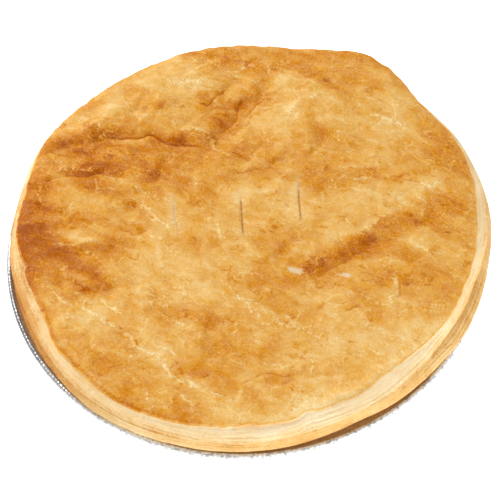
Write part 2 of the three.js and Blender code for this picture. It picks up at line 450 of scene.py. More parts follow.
# %% [markdown]
# ## The lid
# The lid is a sheet of puff pastry, rolled out, slit three times and risen unevenly. A cage of
# big faces is enough for its broad shape: a circle filled with a grid, dropped on to the frame's
# lid and subdivided until a face is under a millimetre across. Folds, cracks and torn skin are
# then drawn on it as short strokes, as one would with a sculpt brush, and its edge is extruded
# down as the pale cut side.

# %% The lid's broad shape
CAGE = 128
FINER = 3
ABOVE = 8 * MM
INSIDE = 0.995

bpy.ops.object.select_all(action="DESELECT")
bpy.ops.mesh.primitive_circle_add(vertices=CAGE, radius=1)
lid = bpy.context.object
lid.name = "pastry_lid"
bpy.ops.object.mode_set(mode="EDIT")
bpy.ops.mesh.select_all(action="SELECT")
bpy.ops.mesh.fill_grid(span=CAGE // 4)
bpy.ops.object.mode_set(mode="OBJECT")
x, y, z = coordinates(lid)
reach = at_turn(skin_r, x, y)
set_coordinates(lid, x * reach * INSIDE, y * reach * INSIDE, z + skin_z.max() + ABOVE)
apply_modifier(
    lid, "SHRINKWRAP", target=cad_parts["lid"], wrap_method="PROJECT",
    use_project_z=True, use_negative_direction=True, use_positive_direction=False,
)
x, y, z = coordinates(lid)
edge = np.hypot(x, y) / at_turn(skin_r, x, y)
z = np.where(edge > 0.97, at_turn(skin_z, x, y), z)
set_coordinates(lid, x / INSIDE, y / INSIDE, z)
apply_modifier(lid, "SUBSURF", levels=FINER, render_levels=FINER)
x, y, z = coordinates(lid)
print("lid top:", len(x), "vertices, from", (z.min() / MM).round(1), "to", (z.max() / MM).round(1), "mm")

# %% [markdown]
# ## Folds, cracks and torn skin
# As the layers rise, the top one sinks in folds, cracks where it is driest and tears where it is pulled,
# and steam leaves through the knife slits. Each is a stroke: a short path, a width and a depth, in
# millimetres, with its ends fading out. A slope is high on one side of its path and low on the other, a
# fold is pressed in, a ridge stands up, and at a tear one side stands over the other. Many small strokes
# join them, strewn at random but mostly along the rolling. A stroke also leaves its mark in a named value,
# so that the material can darken cracks, with painted shade for their grooves and browner pastry, and make
# pale the torn skin and, as painted highlight, the crests of ridges.

# %% Slopes, folds and ridges
SLOPES = (  # high on the left of the path, low on its right
    (8.0, 1.6, ((20, -32), (34, -25), (45, -19), (58, -10), (72, -3), (86, 4))),
    (6.0, 1.3, ((-94, 48), (-70, 50), (-60, 52), (-42, 52), (-33, 48), (-25, 46), (-10, 43))),
    (8.5, 1.7, ((-18, 42), (-8, 54), (-1, 60), (2, 66), (8, 71), (13, 80))),
    (5.5, 1.3, ((-14, 22), (-4, 25), (5, 28), (12, 30), (17, 33), (22, 40))),
    (7.0, 1.2, ((-26, -76), (-18, -66), (-19, -54), (-14, -44), (-4, -38))),
    (4.5, 0.9, ((-99, -8), (-86, -13), (-72, -14), (-58, -10))),
    (5.0, 0.9, ((-84, -36), (-72, -32), (-62, -33), (-54, -26))),
    (6.0, 1.0, ((6, -82), (20, -78), (34, -77), (48, -70))),
    (4.0, 0.8, ((56, 24), (66, 21), (76, 21), (88, 27))),
    (5.0, 0.9, ((-38, 66), (-28, 68), (-18, 66), (-10, 70))),
    (7.0, 1.1, ((30, 34), (33, 44), (32, 56), (36, 68))),
    (5.0, 0.8, ((2, 6), (10, -2), (20, -10), (30, -8))),
    (6.0, 0.9, ((-52, 20), (-44, 22), (-38, 28), (-34, 36))),
    (6.0, 0.9, ((44, -56), (58, -52), (72, -50), (84, -44))),
)
FOLDS = (
    (2.6, 1.0, ((-92, 49), (-70, 50), (-60, 52), (-42, 52), (-33, 48), (-25, 46), (-12, 44))),
    (3.2, 0.9, ((-14, 47), (-8, 54), (-1, 60), (2, 66), (8, 69), (12, 73))),
    (2.5, 0.9, ((-9, 71), (-4, 79), (2, 82))),
    (2.2, 0.9, ((-88, 27), (-80, 31), (-72, 30), (-60, 29), (-50, 25))),
    (2.0, 0.75, ((-41, 21), (-38, 26), (-35, 31))),
    (3.0, 0.8, ((78, 2), (60, -8), (50, -15), (42, -19), (35, -24), (26, -27))),
    (2.4, 0.75, ((-20, 38), (-8, 33), (2, 28))),
    (2.2, 0.75, ((-96, -6), (-86, -12), (-74, -13), (-60, -10))),
    (2.4, 0.75, ((-72, -24), (-66, -32), (-56, -36))),
    (2.0, 0.6, ((10, -84), (20, -80), (34, -79), (44, -80))),
    (1.8, 0.6, ((60, 25), (70, 22), (82, 24))),
    (2.5, 0.75, ((-30, 72), (-22, 68), (-12, 70))),
)
RIDGES = (
    (1.1, 0.6, ((-26, 55), (-23, 52.5), (-20, 52), (-15.5, 50.5), (-12.5, 47.5), (-11.5, 43.5),
                (-7.5, 38.5), (-2.5, 32.5))),
    (1.3, 0.4, ((-86, 33), (-80, 34), (-72, 33), (-62, 32))),
    (2.0, 0.4, ((-34, 83), (-24, 79), (-14, 80))),
    (0.9, 0.3, ((28, 64.5), (23.5, 58), (22, 50))),
    (1.3, 0.3, ((76, 10), (66, 2), (54, -6), (44, -10))),
    (1.3, 0.4, ((-84, -8), (-74, -8), (-62, -6))),
    (1.2, 0.3, ((-50, 20), (-40, 16), (-36, 8))),
    (1.3, 0.3, ((62, 56), (70, 53), (77, 49))),
    (1.2, 0.35, ((-12, 92), (-4, 84), (2, 80))),
)
print(len(SLOPES), "slopes,", len(FOLDS), "folds and", len(RIDGES), "ridges")

# %% Cracks
CRACKS = (
    (0.9, 0.9, ((-62, 51), (-50, 51), (-41, 51), (-35, 47.5), (-30, 46), (-23, 44.5), (-13.5, 44))),
    (0.9, 0.6, ((2.5, 67.5), (0, 63.5), (-1, 58.5), (-3, 56), (-9.5, 52.5), (-12.5, 51))),
    (0.8, 0.7, ((11.5, 68.5), (8.5, 65.5), (5.8, 62), (4, 58.5), (1, 56))),
    (0.8, 0.65, ((-3.5, 79), (-7, 75.5), (-10, 70.5), (-14, 67), (-17.5, 67), (-21.5, 70), (-29, 72.5))),
    (0.7, 0.7, ((10, 96), (6, 92), (2.5, 88))),
    (0.8, 0.5, ((21.5, 74), (17, 71.5), (12, 70.5))),
    (0.8, 0.7, ((-5.5, 25), (-0.5, 27), (4.5, 28), (10.5, 28.5))),
    (0.8, 0.6, ((13.5, 30.5), (16, 32), (18.5, 34.5))),
    (0.8, 0.6, ((-39.5, 24), (-36.5, 28), (-35.5, 29.5))),
    (0.8, 0.8, ((-83, 30.5), (-76, 30), (-70, 30), (-65, 30), (-60, 31))),
    (0.8, 0.6, ((-58.5, 29), (-55, 27), (-50, 25.5))),
    (0.8, 0.7, ((-91, 28), (-86, 28), (-82, 29), (-75, 29))),
    (0.7, 0.6, ((-78, 4), (-76, 6), (-74, 8.5))),
    (0.7, 0.7, ((-54, 3), (-54.5, -1.5), (-50, -2), (-48.5, -4.5), (-43.5, -2.5), (-40, -0.5))),
    (0.7, 0.7, ((-52, -15.5), (-50, -17.5), (-48.5, -18), (-46.5, -14))),
    (0.7, 0.6, ((-55, -25), (-53, -23), (-50, -22.5))),
    (0.6, 0.6, ((-60, -26), (-63, -29), (-64, -31.5), (-67, -35.5), (-69.5, -39))),
    (0.7, 0.6, ((-72, -11), (-70, -13.5), (-67, -14))),
    (0.8, 0.5, ((-60, -75), (-54, -76), (-50, -78.5))),
    (0.7, 0.5, ((-19, -62.5), (-13, -63), (-8, -62))),
    (0.6, 0.5, ((-33, -60), (-32, -62))),
    (0.8, 0.6, ((-6, -83.5), (0, -80.8), (4, -79), (8.5, -78.5), (14, -79), (21, -78.5))),
    (0.8, 0.5, ((-9, -82.5), (-5, -84), (-2.5, -84.8), (-1.5, -87), (-2.5, -91.5))),
    (0.8, 0.5, ((24.5, -81.5), (26.7, -82.8), (30.5, -82.8), (35.5, -81.8))),
    (0.6, 0.5, ((28.5, -78.5), (31, -79), (34, -79.5))),
    (0.7, 0.5, ((29, -74.5), (34, -73), (38, -75))),
    (0.8, 0.7, ((41, -48), (45, -47.3), (49.5, -47.3))),
    (0.7, 0.6, ((36, -45.5), (40, -44.5), (44, -43.5))),
    (0.6, 0.6, ((51.5, -44.5), (54.5, -46.5))),
    (0.7, 0.7, ((55, -34), (57, -33.5), (59, -34))),
    (0.7, 0.6, ((66, -34), (66.5, -37), (66, -41))),
    (0.7, 0.5, ((62, -42.5), (64, -43))),
    (0.9, 0.9, ((95, -39), (92, -43), (89.5, -47), (88, -50), (85, -53.5), (81, -60))),
    (0.8, 0.6, ((26, -29), (32, -28), (40, -24), (48, -19), (56, -15))),
    (0.8, 0.6, ((30, 38), (36, 37), (42, 33), (47, 34))),
    (0.6, 0.4, ((60, 42), (72, 43), (76, 40))),
)
print(len(CRACKS), "cracks")

# %% Tears
TEARS = (
    (1.4, 0.5, ((-89, -21), (-87, -23), (-85.5, -27), (-83, -32), (-80, -37), (-76, -38),
                 (-71, -37.5), (-70.5, -41), (-67, -44.5), (-63, -46.5), (-60, -49.5), (-57, -52),
                 (-54, -55), (-51, -56.5), (-49, -60.5), (-45, -63.5), (-40.5, -66), (-36.5, -71),
                 (-34.5, -77), (-30, -79), (-26, -78), (-25, -81.5), (-18.5, -84.5), (-12, -88),
                 (-7, -90.5))),
    (0.9, 0.35, ((-64.5, -35.5), (-62.5, -38.5), (-59.5, -42), (-53.5, -47))),
    (0.9, 0.4, ((-41, -45.5), (-37.5, -46.5), (-34, -49.5), (-30.5, -51.5), (-28.5, -54), (-25.5, -53))),
    (0.9, 0.35, ((-37, -60.5), (-36.5, -63.5), (-33, -66), (-30.5, -68.5))),
    (0.9, 0.3, ((-54, -72), (-49.5, -66.5), (-50, -63))),
    (0.8, 0.3, ((-33.5, -84), (-33, -90))),
    (0.8, 0.3, ((-44.5, -81), (-44, -88))),
    (0.9, 0.45, ((27.5, -67), (26, -73), (24.8, -79))),
    (0.9, 0.26, ((-13, -30), (-9, -33.5), (-4.5, -40), (-1.5, -43), (3.5, -44.5), (10, -47.5))),
    (0.9, 0.26, ((10.5, -50.5), (14, -53.5), (19, -55.5), (26, -59), (32, -61.5), (35, -63))),
    (1.0, 0.4, ((49, 20), (51, 20.5), (54.5, 21), (58, 21), (60, 22.5))),
    (1.0, 0.4, ((78, 19), (81, 17.5), (85, 16), (88, 17.5), (92, 19.5))),
    (0.9, 0.35, ((76.5, 11), (79.5, 8), (82.5, 6.5))),
    (1.0, 0.35, ((62, 5), (66, 8), (71, 10), (73, 12.5))),
    (0.9, 0.3, ((51, -8.5), (53, -10))),
    (1.0, 0.5, ((57, -33), (60.5, -32.7), (64.5, -34), (65, -37), (64.3, -40), (61.5, -42), (61.5, -45))),
    (0.9, 0.35, ((72, -13), (76, -15.5), (80, -18), (88, -21))),
    (1.3, 0.65, ((38, -28), (43, -29), (45.5, -30))),
    (1.4, 0.6, ((17, -26.5), (21, -26.8), (25.5, -27.5))),
    (0.9, 0.35, ((6, 79), (8, 78), (11, 77))),
    (0.9, 0.35, ((-65.5, 28), (-65, 20.5), (-60, 20), (-56, 19.5))),
    (0.9, 0.35, ((-59.5, 28), (-57.5, 26), (-52.5, 24.5))),
    (0.9, 0.4, ((-95, 27), (-90.5, 26.5), (-92, 21), (-91, 16.5), (-89, 15))),
    (1.0, 0.5, ((-86, 35), (-83, 31.5))),
    (1.1, 0.5, ((-80, 9.5), (-77.5, 12), (-75, 10.5))),
    (0.8, 0.35, ((-41.5, -5.5), (-36.5, -8.5))),
    (0.9, 0.4, ((-74, -12), (-70, -12.5), (-67.5, -13.5), (-64, -17.5), (-61.5, -18))),
    (0.9, 0.35, ((-88.5, -20), (-80, -18.5), (-76.5, -18))),
    (0.9, 0.35, ((-46, 12), (-40, 4), (-32.5, -3.5), (-29, -5))),
    (0.8, 0.3, ((-50, 16), (-44, 6), (-36, -3))),
    (1.2, 0.4, ((-2, 84), (1, 86.5), (5, 89))),
    (1.3, 0.4, ((60, 56), (68, 54), (76, 50))),
    (1.2, 0.3, ((-72, 60), (-64, 57), (-56, 58))),
    (1.0, 0.2, ((12, -52), (20, -56), (30, -55))),
    (1.3, 0.4, ((62, -76), (68, -76), (72, -79))),
)
print(len(TEARS), "tears")

# %% Slits and bare places
# each slit is darkened with painted shade below the height given
SLITS = (  # a path, and the height on it below which the slit is dark
    (((-31, 16), (-31, 6), (-30.3, 1.5), (-29.3, -4.5)), -1),
    (((-1, 16), (-0.8, 4), (-0.5, -8)), 13),
    (((25.5, 23), (25, 10), (25.5, -1)), 17),
)
BARE = (  # where the skin has come off and the white pastry shows
    ((17.3, -25.6), (21, -25.3), (24.3, -26.4)),
    ((41.5, -28.5), (45.5, -30.2)),
)
print(len(SLITS), "slits and", len(BARE), "bare places")

# %% How a stroke is felt
ROLLED = math.radians(-27)
DRAWN_OUT = 1.8
STREWN_WITHIN = 96


def along_path(x, y, path, width):
    """How strongly a stroke is felt at each place, from 0 to 1, and on which side the place is."""
    points = np.array(path) * MM
    steps = np.hypot(*np.diff(points, axis=0).T)
    near = np.full(len(x), np.inf)
    side, run = np.zeros(len(x)), np.zeros(len(x))
    for start, end, before, step in zip(points, points[1:], np.cumsum(steps) - steps, steps):
        way = (end - start) / step
        along = np.clip((x - start[0]) * way[0] + (y - start[1]) * way[1], 0, step)
        off_x, off_y = x - start[0] - along * way[0], y - start[1] - along * way[1]
        off = np.hypot(off_x, off_y)
        closer = off < near
        near = np.where(closer, off, near)
        side = np.where(closer, way[0] * off_y - way[1] * off_x, side)
        run = np.where(closer, (before + along) / steps.sum(), run)
    ends = np.clip(5 * np.minimum(run, 1 - run) + 0.25, 0, 1)
    return bell(near, width * MM) * ends, side


def drawn(x, y, strokes):
    """For each stroke its width and depth, the places near it, how strongly, and on which side."""
    for width, depth, path in strokes:
        corners = np.array(path) * MM
        room = 3 * width * MM
        low, high = corners.min(0) - room, corners.max(0) + room
        near = np.nonzero((x > low[0]) & (x < high[0]) & (y > low[1]) & (y < high[1]))[0]
        felt, side = along_path(x[near], y[near], path, width)
        yield width * MM, depth * MM, near, felt, side


def small_strokes(count, width, depth, seed, spread=3.0, longest=4.5):
    """Short strokes, each a walk of a few steps, more or less along the rolling."""
    chance = np.random.default_rng(seed)
    made = []
    for _ in range(count):
        turn = chance.uniform(0, 2 * np.pi)
        away = STREWN_WITHIN * math.sqrt(chance.uniform(0, 1))
        heading = ROLLED + chance.normal(0, spread) + math.pi * chance.integers(0, 2)
        path = [(away * math.cos(turn), away * math.sin(turn))]
        for _ in range(chance.integers(2, 5)):
            heading += chance.normal(0, 0.6)
            step = chance.uniform(1.5, longest)
            last = path[-1]
            path.append((last[0] + step * math.cos(heading), last[1] + step * math.sin(heading)))
        made.append((width, depth * chance.uniform(0.5, 1.2), path))
    return made


print("rolled out along", round(math.degrees(ROLLED)), "degrees, by", DRAWN_OUT)

# %% [markdown]
# ## Where the lid is browner and paler
# An oven browns a pie unevenly: high spots go amber, and places that steamed stay pale. The broad patches
# are listed, each a soft oval with a strength, above zero for browner and below zero for paler. Painted
# shade and light go into the same value: hollows and slopes turned away from the key lamp are browner, the
# crests of the wrinkles and the top near its front edge are paler, and a painted shadow line runs under
# the skin's lip on the front left. The fine mottling comes later, from the material.

# %% Browner and paler patches
PATCHES = (  # x, y, strength, reach along, reach across, turn in degrees
    (-98, 5, 1.1, 22, 8, 90), (-90, -10, 0.6, 14, 8, -30), (-78, 48, 0.7, 24, 8, -4),
    (-66, 34, 0.65, 11, 6, 0), (-40, 27, 0.6, 12, 6, -15), (-52, 44, 0.35, 20, 7, 0),
    (-22, 47, 0.65, 14, 4.5, -5), (-3, 57, 0.65, 18, 5.5, 58), (7, 73, 0.3, 14, 8, 60),
    (-12, 94, 0.35, 14, 7, 0), (28, 92, 0.6, 34, 8, -4), (2, 35, 0.45, 20, 8, 12),
    (35, 47, 0.35, 4, 7, 0), (50, 70, 0.35, 6, 6, 0), (38, 23, 0.25, 12, 9, 0),
    (-70, -26, 0.75, 12, 8, -35), (-82, -14, 0.5, 12, 4, -8), (-54, -10, 0.25, 12, 9, 0),
    (43, -18, 0.75, 14, 4.5, 27), (66, -5, 0.45, 12, 6, 22), (68, -30, 0.3, 12, 8, 0),
    (29, -27, 0.4, 9, 4, 15), (-14, -62, 0.3, 7, 16, 0), (-26, -50, 0.3, 14, 6, 0),
    (-74, -68, 0.35, 20, 8, -45), (-28, -94, 0.25, 22, 6, -14), (92, 34, 0.35, 12, 20, 0),
    (97, 4, 0.35, 6, 16, 0), (12, -20, 0.2, 10, 8, 0), (40, -80, 0.25, 12, 5, 0),
    (-13, 16, 0.25, 7, 6, 0), (84, -46, 0.3, 7, 14, -25), (-20, 66, 0.3, 16, 8, 0),
    (-58, 66, -0.9, 8, 7, 0), (-76, 58, -0.4, 12, 4, 35), (-27, 80, -0.5, 16, 7, 15),
    (23, 50, -0.6, 4.5, 22, 0), (60, 58, -0.3, 14, 12, 0), (72, 51, -0.4, 10, 6, -30),
    (0, 5, -0.6, 13, 13, 0), (25, 6, -0.5, 12, 9, 0), (54, 7, -0.7, 22, 9, 18),
    (40, -7, -0.6, 18, 5, 24), (-35, 5, -0.45, 6, 12, 0), (-72, -1, -0.8, 9, 4.5, 0),
    (-32, -20, -0.45, 16, 14, 0), (-62, -47, -0.65, 13, 7, -45), (-44, -69, -0.35, 16, 6, -42),
    (55, -60, -0.5, 24, 9, 14), (82, -66, -1.1, 16, 9, 52), (34, -93, -0.9, 30, 6, 12),
    (76, -36, -0.35, 10, 5, 0), (86, -14, -0.35, 8, 6, 0), (86, 18, -0.3, 8, 6, 0),
    (-14, -90, -0.5, 18, 3.5, -28), (-92, 16, 0.9, 20, 9, 80), (-50, 34, 0.6, 34, 13, 0),
    (14, 80, 0.4, 12, 9, 60), (56, 16, -0.5, 26, 12, 15), (50, 52, -0.35, 26, 18, 0),
    (-22, -36, -0.3, 28, 14, -10), (26, -58, -0.4, 36, 18, 5), (-34, -75, -0.5, 16, 8, -38),
    (18, -80, -0.4, 40, 9, 5),
)


def patched(x, y):
    """How much browner than the rest each place is. Paler places are below zero."""
    total = np.zeros(len(x))
    for px, py, strength, along, across, turn in PATCHES:
        c, s = math.cos(math.radians(turn)), math.sin(math.radians(turn))
        dx, dy = x / MM - px, y / MM - py
        total += strength * bell(dx * c + dy * s, along) * bell(dy * c - dx * s, across)
    return total


print(len(PATCHES), "patches,", sum(patch[2] > 0 for patch in PATCHES), "of them browner")

# %% Draw the strokes on the lid
x, y, z = coordinates(lid)
bent_x, bent_y = pushed(x, y, 1, (1.0, 7), (0.45, 2.4))
relief, crack_shade_and_browning, torn_and_highlit = (np.zeros(len(x)) for _ in range(3))
slopes = [*SLOPES, *small_strokes(110, 3.5, 0.5, 7, 0.8, 7)]
folds = [*FOLDS, *small_strokes(40, 1.8, 0.5, 8, 0.7, 7)]
cracks = [*CRACKS, *small_strokes(45, 0.6, 0.35, 5)]
tears = [*TEARS, *small_strokes(90, 0.8, 0.27, 6, 0.5, 6)]

for width, depth, near, felt, side in drawn(bent_x, bent_y, slopes):
    relief[near] += depth * felt * np.tanh(side / (0.4 * width))
for width, depth, near, felt, side in drawn(bent_x, bent_y, folds):
    relief[near] -= depth * felt
for width, depth, near, felt, side in drawn(bent_x, bent_y, RIDGES):
    relief[near] += depth * felt
    # the crests of ridges are painted pale, as painted highlight
    torn_and_highlit[near] = np.maximum(torn_and_highlit[near], 1.25 * depth / MM * felt**1.5)
for width, depth, near, felt, side in drawn(bent_x, bent_y, cracks):
    felt = felt**1.25
    relief[near] -= 0.65 * depth * felt
    # a crack's darkness is painted shade for its groove and browner pastry
    crack_shade_and_browning[near] = np.maximum(crack_shade_and_browning[near], felt * depth / (0.9 * MM))
for width, depth, near, felt, side in drawn(bent_x, bent_y, tears):
    broken = np.clip(0.6 + 1.3 * wander(bent_x[near] + 1, bent_y[near], 3.5 * MM, 15), 0, 1)
    relief[near] += depth * felt * broken * np.tanh(side / (0.5 * MM))
    strong = np.clip(depth / (0.4 * MM), 0, 1) * (0.45 + 0.55 * broken)
    torn_and_highlit[near] = np.maximum(torn_and_highlit[near], felt**1.5 * strong * (side > -0.35 * MM))
print("drawn:", len(slopes), "slopes,", len(folds), "folds,", len(cracks), "cracks,", len(tears), "tears")

# %% [markdown]
# ## Lumps, wrinkles and slits
# The sheet has been rolled out one way, so its lumps and wrinkles are drawn out along the
# rolling. Both are wandering waves, read from a place that is itself swayed about, so that none
# of them runs straight. A wrinkle is the thin ridge where such a wave passes zero. The slits are
# narrower than a face of the mesh, so the faces beside them are first drawn in towards them.

# %% Coordinates along the rolling
def rolled(x, y):
    """Coordinates along and across the rolling, the first one shortened to draw patterns out."""
    along = x * math.cos(ROLLED) + y * math.sin(ROLLED)
    across = y * math.cos(ROLLED) - x * math.sin(ROLLED)
    return along / DRAWN_OUT + 1, across + 1


def field(x, y, size, seed):
    """A wandering field with finer and finer wiggles on its broad ones."""
    return sum(
        share * wander(x, y, size * scale, seed + step)
        for step, (share, scale) in enumerate(((1, 1), (0.35, 0.42), (0.1, 0.17)))
    )


sway_x, sway_y = pushed(x, y, 51, (5, 26))
along, across = rolled(sway_x + 0.6 * (bent_x - x), sway_y + 0.6 * (bent_y - y))
print("laid along the rolling:", len(along), "places")

# %% Lumps and creases
edge_share = np.hypot(x, y) / at_turn(skin_r, x, y)
inner = np.clip((1 - edge_share) * 12, 0, 1)
lumps = 1.2 * wander(along, across, 17 * MM, 7) + 0.5 * wander(along, across, 6 * MM, 8)
creases = (1 - np.abs(field(along, across, 11 * MM, 9))) ** 3 - 0.3
relief += (lumps * 1.3 + creases * 0.9) * MM
relief *= 0.35 + 0.65 * inner
z = z + relief
print("deepest fold", (relief.min() / MM).round(1), "highest ridge", (relief.max() / MM).round(1))

# %% Slits and bare places on the lid
SLIT_REACH = 2.0
SLIT_DEPTH = 0.3 * MM
opened, slit_shade, paled = (np.zeros(len(x)) for _ in range(3))
for path, dark_from in SLITS:
    across_slit = x / MM - np.interp(y / MM, *reversed(np.array(path[::-1]).T))
    low, high = path[-1][1] - 1, path[0][1] + 1
    within = (np.abs(across_slit) < SLIT_REACH) & (y > low * MM) & (y < high * MM)
    drawn_in = SLIT_REACH * np.sign(across_slit) * (np.abs(across_slit) / SLIT_REACH) ** 1.9
    x = np.where(within, x + (drawn_in - across_slit) * MM, x)
    felt, _ = along_path(x, y, path, 0.28)
    z = z - SLIT_DEPTH * np.clip(1.4 * felt, 0, 1)
    lower = np.clip((dark_from - y / MM) / 4, 0.2, 1)
    # painted shade in the slit's gap
    slit_shade = np.maximum(slit_shade, np.clip(1.3 * felt * lower, 0, 1))
    felt, _ = along_path(x + 0.35 * MM, y, path, 0.5)
    opened = np.maximum(opened, felt * (1.2 - lower) * 0.8)
    felt, _ = along_path(x + 1.5 * MM, y, path, 2.8)
    paled = np.maximum(paled, felt)
for path in BARE:
    felt, _ = along_path(bent_x, bent_y, path, 1.2)
    opened = np.maximum(opened, np.clip(2.5 * felt - 0.6, 0, 1))
print("vertices in the slits:", (slit_shade > 0.5).sum(), "and where the pastry is bare:", (opened > 0.5).sum())

# %% [markdown]
# ## The lid's ragged edge and cut side
# The browned skin ends in a thin, ragged lip that stands a little over the pale cut side. In
# front it has lifted and left a dark gap, and next to that it has fused with the side. The cut
# side leans in from the seam and shows the layers edge on. It is extruded down from the skin's
# edge in thin rows.

# %% Roll the skin's edge
ragged = 0.45 * wander_round(6 * MM, 11) + 0.3 * wander_round(2.6 * MM, 12)
ragged = ragged + 0.6 * wander_round(19 * MM, 13) + swell(
    (182, 1.6, 6), (192, 1.5, 5), (168, 0.8, 6), (207, -1.2, 4), (189, -1.4, 1.2),
    (284, -1.0, 2), (38, -1.0, 9),
)
fused = swell((299, 1.0, 11))
lifted = swell((273, 0.9, 9), (246, 0.25, 12), (204, 0.3, 12))
inset = np.maximum(at_turn(skin_r, x, y) - np.hypot(x, y), 0)
pull = bell(inset, 7 * MM) * at_turn(ragged, x, y) * MM
radius = np.hypot(x, y)
scale = 1 + pull / np.maximum(radius, MM)
x, y = x * scale, y * scale
roll = 0.55 * bell(inset, 1.6 * MM) * (1 - at_turn(lifted, x, y))
roll += 2.2 * at_turn(fused, x, y) * bell(inset, 4.5 * MM)
wave = 0.5 * wander_round(14 * MM, 14)
z = z - (roll - at_turn(wave, x, y) * bell(inset, 6 * MM)) * MM
set_coordinates(lid, x, y, z)
print("the skin's edge is pulled by", (pull.min() / MM).round(1), "to", (pull.max() / MM).round(1), "mm")

# %% How brown each place on the top is, with painted shade and light
normals = np.empty(3 * len(x))
lid.data.vertex_normals.foreach_get("vector", normals)
away_from_key = normals.reshape(-1, 3) @ (0.5, -0.85, 0)
browning_and_shading = patched(*pushed(x, y, 91, (4.5, 15), (2, 6)))
most = np.where(browning_and_shading > 0, 1.35, 0.9)
# painted shade and light: hollows are browner and the crests of the wrinkles paler
browning_and_shading = most * np.tanh(browning_and_shading / most) - 0.2 * lumps - 0.25 * creases * inner
# painted shade: slopes turned away from the key lamp are browner
browning_and_shading += 0.55 * away_from_key * inner - 0.35 * paled
# painted light: the top is paler near its front edge
browning_and_shading -= 0.6 * at_turn(swell((292, 1, 50)), x, y) * np.exp(-inset / (6 * MM))
# a painted shadow: a dark line under the skin's lip on the front left
browning_and_shading += 0.9 * at_turn(swell((228, 1, 32)), x, y) * bell(inset, 1.3 * MM)
browning_and_shading += 0.3 * at_turn(swell((178, 1, 14)), x, y) * bell(inset, 6 * MM)
top_count = len(x)
print("browned from", browning_and_shading.min().round(2), "to", browning_and_shading.max().round(2))

# %% Extrude the cut side
LIP_SHARE = 0.14
SIDE_SHARES = (0.03, 0.07, 0.11, LIP_SHARE, 0.17, *np.linspace(0.21, 1, 19))
bpy.ops.object.mode_set(mode="EDIT")
bpy.ops.mesh.select_mode(type="EDGE")
bpy.ops.mesh.select_all(action="DESELECT")
bpy.ops.mesh.select_non_manifold(
    use_wire=False, use_multi_face=False, use_non_contiguous=False, use_verts=False
)
bpy.ops.object.mode_set(mode="OBJECT")
extrude_rings(lid, len(SIDE_SHARES) + 1)

x, y, z = coordinates(lid)
ring_of = (np.arange(len(x)) - top_count) // COLUMNS
angle, radius = np.arctan2(y, x), np.hypot(x, y)
# browner on the left; painted light makes the cut side paler on the front right
rim_browning_and_light = swell((196, 0.9, 14), (172, 0.8, 10), (230, 0.4, 12), (292, -0.6, 45))
recess = 0.3 + swell((273, 1.5, 9), (200, 0.5, 16), (340, 0.5, 10), (299, -0.3, 10))
side_share = np.zeros(len(x))
for ring, share in enumerate(SIDE_SHARES):
    here = ring_of == ring
    start_r, start_z = radius[here], z[here] + (ring + 1) * MM
    turn = (x[here], y[here])
    foot_r, foot_z = at_turn(seam_r, *turn), at_turn(seam_z, *turn) - 0.1 * MM
    lean = 1.6 * share - 0.6 * share**2
    drop = share * (start_z - foot_z)
    lip = 0.25 * math.sin(math.pi * min(share / LIP_SHARE, 1)) * (1 - at_turn(fused, *turn))
    under = at_turn(recess, *turn) * bell(share - 0.2, 0.11) * (share > 0.12)
    strong = np.clip(0.7 + 0.7 * wander_round(13 * MM, 21, share * 20 * MM), 0.1, 1.4)
    relief = 0.22 * layers(share * (skin_z - seam_z), 1.5 * MM, 22) * strong
    relief = relief + 0.3 * wander_round(11 * MM, 24, share * 14 * MM)
    relief = at_turn(relief, *turn) * min(max((share - LIP_SHARE) * 12, 0), 1) * min((1.06 - share) * 8, 1)
    radius[here] = start_r + (foot_r - start_r) * lean + (lip - under + relief) * MM
    z[here] = start_z - drop
    side_share[here] = share
last = ring_of == len(SIDE_SHARES)
radius[last], z[last] = 0, seam_z.max() + 3.6 * MM
side_share[last] = 1
set_coordinates(lid, radius * np.cos(angle), radius * np.sin(angle), z)

paint(lid, "browning_and_shading", np.append(browning_and_shading, at_turn(rim_browning_and_light, x[top_count:], y[top_count:])))
top_only = {"torn_and_highlit": torn_and_highlit, "opened": opened, "slit_shade": slit_shade, "crack_shade_and_browning": crack_shade_and_browning}
for name, values in top_only.items():
    paint(lid, name, np.append(np.clip(values, 0, 1), np.zeros(len(x) - top_count)))
paint(lid, "cut", np.clip((side_share - 0.07) / 0.1, 0, 1))
paint(lid, "rise", 1 - side_share)
closed_up(lid)

# %% [markdown]
# ## A map for baking the lid
# Other programs take the lid's colours from one picture, so the piece has a map of its own. Seen
# from above, the top is already a disc with little slope, so it is mapped as it lies. The cut
# side becomes a ring round the disc, and the hidden underside a small disc in a corner.

# %% Lay the map out
x, y, z = coordinates(lid)
mesh = lid.data
rise = np.empty(len(x))
corner = np.empty(len(mesh.loops), int)
sides = np.empty(len(mesh.polygons), int)
mesh.attributes["rise"].data.foreach_get("value", rise)
mesh.loops.foreach_get("vertex_index", corner)
mesh.polygons.foreach_get("loop_total", sides)
face = np.repeat(np.arange(len(sides)), sides)
middle = (rise < 0.001) & (np.hypot(x, y) < MM)
hidden = np.isin(face, face[middle[corner]])
on_top = np.minimum(0.39 * np.hypot(x, y) / at_turn(skin_r, x, y), 0.4)
spread = np.where(rise > 0.999, on_top, 0.405 + 0.08 * (1 - rise))[corner]
spread = np.where(hidden, 0.04 * ~middle[corner], spread)
angle = np.arctan2(y, x)[corner]
centre = np.where(hidden, 0.95, 0.5)
places = np.stack([centre + spread * np.cos(angle), centre + spread * np.sin(angle)], axis=1)
mesh.uv_layers.new(name="OFBake").data.foreach_set("uv", places.astype(np.float32).ravel())
print("mapped", len(sides), "faces,", len(np.unique(face[hidden])), "of them hidden")

